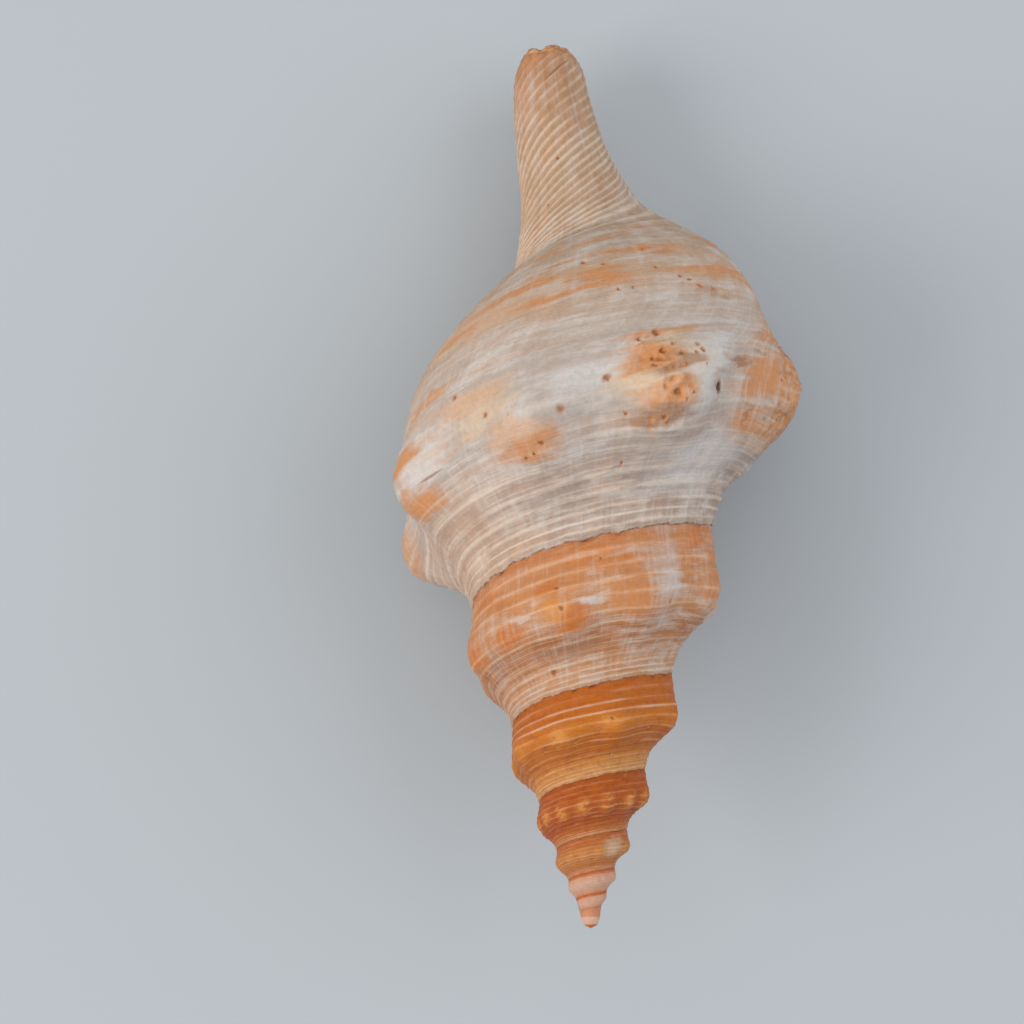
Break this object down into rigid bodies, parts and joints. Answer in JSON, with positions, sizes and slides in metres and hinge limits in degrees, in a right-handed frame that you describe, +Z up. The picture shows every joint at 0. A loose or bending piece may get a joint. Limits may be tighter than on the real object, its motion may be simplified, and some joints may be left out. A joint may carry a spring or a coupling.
{
  "type": "horse conch shell",
  "caption": "Large spindle-shaped sea snail shell lying on its aperture: knobbed stepped spire, swollen body whorl, flared lip and long straight canal.",
  "frame": {"origin": "middle of the shell's outline seen from above, on the surface that it lies on", "axes": "+Y towards the tip of the siphonal canal, +X towards the outer lip, +Z up out of the shell's back"},
  "size_m": [0.0898, 0.202, 0.0778],
  "materials": {
    "shell_wall": "dry worn calcium carbonate, satin, chalky white and peach on the body whorl and orange on the spire"
  },
  "bodies": {
    "root": {"shell": "shell_wall"}
  },
  "joints": []
}
